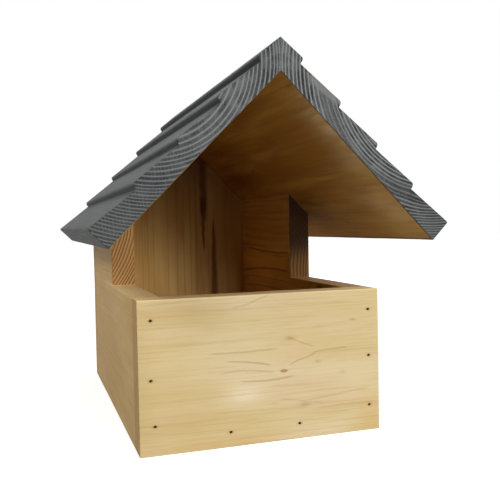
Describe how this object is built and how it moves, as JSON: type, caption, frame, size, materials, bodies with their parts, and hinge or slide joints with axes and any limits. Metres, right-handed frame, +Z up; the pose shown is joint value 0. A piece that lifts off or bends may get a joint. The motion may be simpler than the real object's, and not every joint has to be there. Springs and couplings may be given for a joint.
{
  "type": "bird nest box",
  "caption": "Open-fronted pine bird nest box: low nailed front panel, side walls stepped up behind it, gabled back with keyhole hanger, pitched two-board roof milled with shingle courses.",
  "frame": {"origin": "centre of the box's footprint (the front panel's face to the back panel's face, without the roof's overhang), on the surface that the box stands on", "axes": "+X to the right seen from the front, +Y from the front to the back, +Z up"},
  "size_m": [0.2332, 0.3095, 0.2591],
  "materials": {
    "pine_front": "planed bare pine, pale straw, long grain across the panel",
    "pine_side": "planed bare pine, grain front to back, end grain on the front edges",
    "pine_back": "planed bare pine, upright grain with dark streaks",
    "pine_floor": "planed bare pine",
    "stained_roof": "pine stained matt grey outside and on the ends, bare honey pine underneath",
    "brad_steel": "dull dark brad heads",
    "hanger_zinc": "zinc plated pressed steel",
    "screw_zinc": "zinc plated"
  },
  "bodies": {
    "root": {"floor": "pine_floor", "front_panel": "pine_front", "back_panel": "pine_back", "left_side_wall": "pine_side", "right_side_wall": "pine_side", "roof_board_left": "stained_roof", "roof_board_right": "stained_roof", "hanger_plate": "hanger_zinc", "hanger_screw_left": "screw_zinc", "hanger_screw_right": "screw_zinc", "front_brad_left_1": "brad_steel", "front_brad_left_2": "brad_steel", "front_brad_left_3": "brad_steel", "front_brad_right_1": "brad_steel", "front_brad_right_2": "brad_steel", "front_brad_right_3": "brad_steel", "front_brad_floor_1": "brad_steel", "front_brad_floor_2": "brad_steel", "back_brad_left_1": "brad_steel", "back_brad_left_2": "brad_steel", "back_brad_left_3": "brad_steel", "back_brad_right_1": "brad_steel", "back_brad_right_2": "brad_steel", "back_brad_right_3": "brad_steel", "back_brad_floor_1": "brad_steel", "back_brad_floor_2": "brad_steel", "side_brad_left_1": "brad_steel", "side_brad_left_2": "brad_steel", "side_brad_left_3": "brad_steel", "side_brad_right_1": "brad_steel", "side_brad_right_2": "brad_steel", "side_brad_right_3": "brad_steel", "roof_brad_left_1": "brad_steel", "roof_brad_left_2": "brad_steel", "roof_brad_right_1": "brad_steel", "roof_brad_right_2": "brad_steel", "gable_brad_left_1": "brad_steel", "gable_brad_left_2": "brad_steel", "gable_brad_right_1": "brad_steel", "gable_brad_right_2": "brad_steel", "ridge_brad_1": "brad_steel", "ridge_brad_2": "brad_steel", "ridge_brad_3": "brad_steel"}
  },
  "joints": []
}
